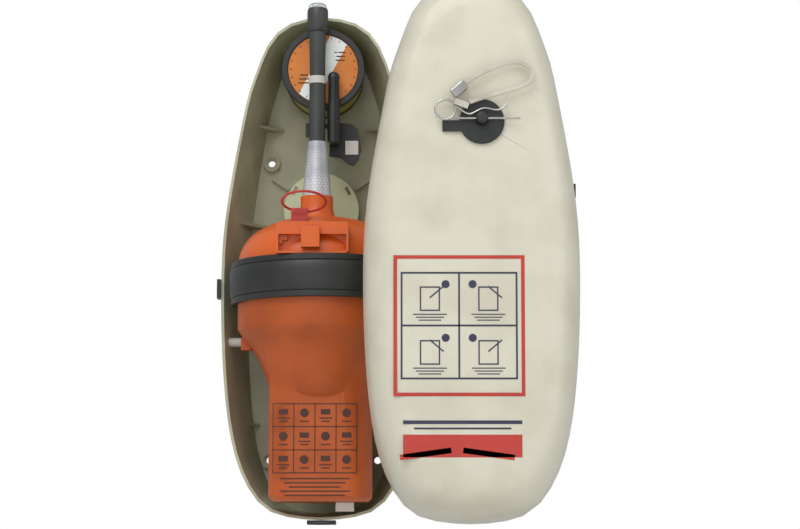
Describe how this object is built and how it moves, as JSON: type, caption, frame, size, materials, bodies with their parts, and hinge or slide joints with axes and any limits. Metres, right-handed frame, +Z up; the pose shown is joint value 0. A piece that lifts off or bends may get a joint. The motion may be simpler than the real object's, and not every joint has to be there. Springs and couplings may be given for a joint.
{
  "type": "emergency position beacon",
  "caption": "Float-free enclosure opened flat, holding an orange floating beacon with whip antenna, slide switch, pull seal and pressure release, its cover taken off in front.",
  "frame": {"origin": "centre of the four wall bolt holes, on the back face", "axes": "+Z up along the antenna, +Y into the wall, +X to the right seen from the front"},
  "size_m": [0.3465, 0.332, 0.519],
  "materials": {
    "shell_resin": "moulded, satin",
    "cover_resin": "moulded, satin gloss",
    "ejector_resin": "moulded, satin",
    "grey_resin": "moulded, satin",
    "white_resin": "moulded, matt",
    "black_resin": "moulded, satin",
    "face_orange": "printed film, gloss",
    "band_yellow": "printed film, gloss",
    "orange_housing": "moulded, fine texture",
    "orange_dome": "moulded, satin",
    "belt_rubber": "moulded, satin",
    "seal_red": "moulded, gloss",
    "reflector": "prismatic film",
    "antenna_black": "moulded, satin",
    "lens_clear": "clear moulding",
    "steel": "drawn wire",
    "webbing": "braided",
    "cell_wrap": "shrink sleeve",
    "inner_resin": "moulded",
    "board_green": "solder mask",
    "led_white": "moulded lens"
  },
  "bodies": {
    "bracket": {"back_shell": "shell_resin", "hru_case": "black_resin", "hru_back_ring": "black_resin", "hru_rim": "black_resin", "hru_face_disc": "face_orange", "hru_side_band": "band_yellow", "hru_diaphragm": "belt_rubber", "hru_spring": "steel", "shield_plate": "black_resin", "shield_tag": "white_resin", "left_arm": "grey_resin", "right_arm": "grey_resin", "rim_clip": "black_resin", "bottom_latch": "black_resin", "rest_block": "white_resin", "ejector_spring": "steel"},
    "ejector": {"ejector_plate": "ejector_resin"},
    "release": {"release_rod": "black_resin"},
    "blade": {"hru_blade": "steel"},
    "beacon": {"lower_housing": "orange_housing", "upper_dome": "orange_dome", "o_ring": "belt_rubber", "lower_flange": "belt_rubber", "upper_flange": "belt_rubber", "clamp_belt": "belt_rubber", "switch_housing": "orange_dome", "catch_hook": "orange_housing", "switch_magnet": "steel", "antenna_neck": "orange_dome", "reflective_sleeve": "reflector", "antenna_sleeve": "antenna_black", "antenna_band": "grey_resin", "antenna_tube": "antenna_black", "antenna_head": "antenna_black", "strobe_lens": "lens_clear", "strobe_led": "led_white", "whip_core": "steel", "battery_cells": "cell_wrap", "battery_tray": "inner_resin", "board_spacer": "inner_resin", "circuit_board": "board_green", "shield_can": "steel", "whip_socket": "inner_resin"},
    "knob": {"switch_knob": "orange_dome"},
    "seal": {"seal_ring": "seal_red", "seal_stem": "seal_red"},
    "cover": {"cover_shell": "cover_resin", "washer_disc": "black_resin", "lock_stem": "black_resin", "cover_clip": "black_resin"},
    "clip": {"r_clip": "steel", "crimp": "steel", "loop_tie": "webbing", "webbing_loop": "webbing"}
  },
  "joints": [
    {"name": "beacon_lift", "type": "slide", "parent": "bracket", "child": "beacon", "axis": [-0.5401, -0.8416, 0], "range_m": [0, 0.16]},
    {"name": "ejector_push", "type": "slide", "parent": "bracket", "child": "ejector", "axis": [0, -1, 0], "range_m": [0, 0.0065]},
    {"name": "release_pull", "type": "slide", "parent": "bracket", "child": "release", "axis": [0, -1, 0], "range_m": [0, 0.04]},
    {"name": "blade_stroke", "type": "slide", "parent": "bracket", "child": "blade", "axis": [0, -1, 0], "range_m": [0, 0.012]},
    {"name": "knob_slide", "type": "slide", "parent": "beacon", "child": "knob", "axis": [1, 0, 0], "range_m": [-0.009, 0.018]},
    {"name": "seal_pull", "type": "slide", "parent": "beacon", "child": "seal", "axis": [0, 0, 1], "range_m": [0, 0.03]},
    {"name": "cover_lift", "type": "slide", "parent": "bracket", "child": "cover", "axis": [0, -1, 0], "range_m": [0, 0.15]},
    {"name": "clip_pull", "type": "slide", "parent": "cover", "child": "clip", "axis": [-1, 0, 0], "range_m": [0, 0.05]}
  ],
  "couplings": [
    {"joint": "ejector_push", "follows": "beacon_lift", "ratio": 0.04}
  ]
}
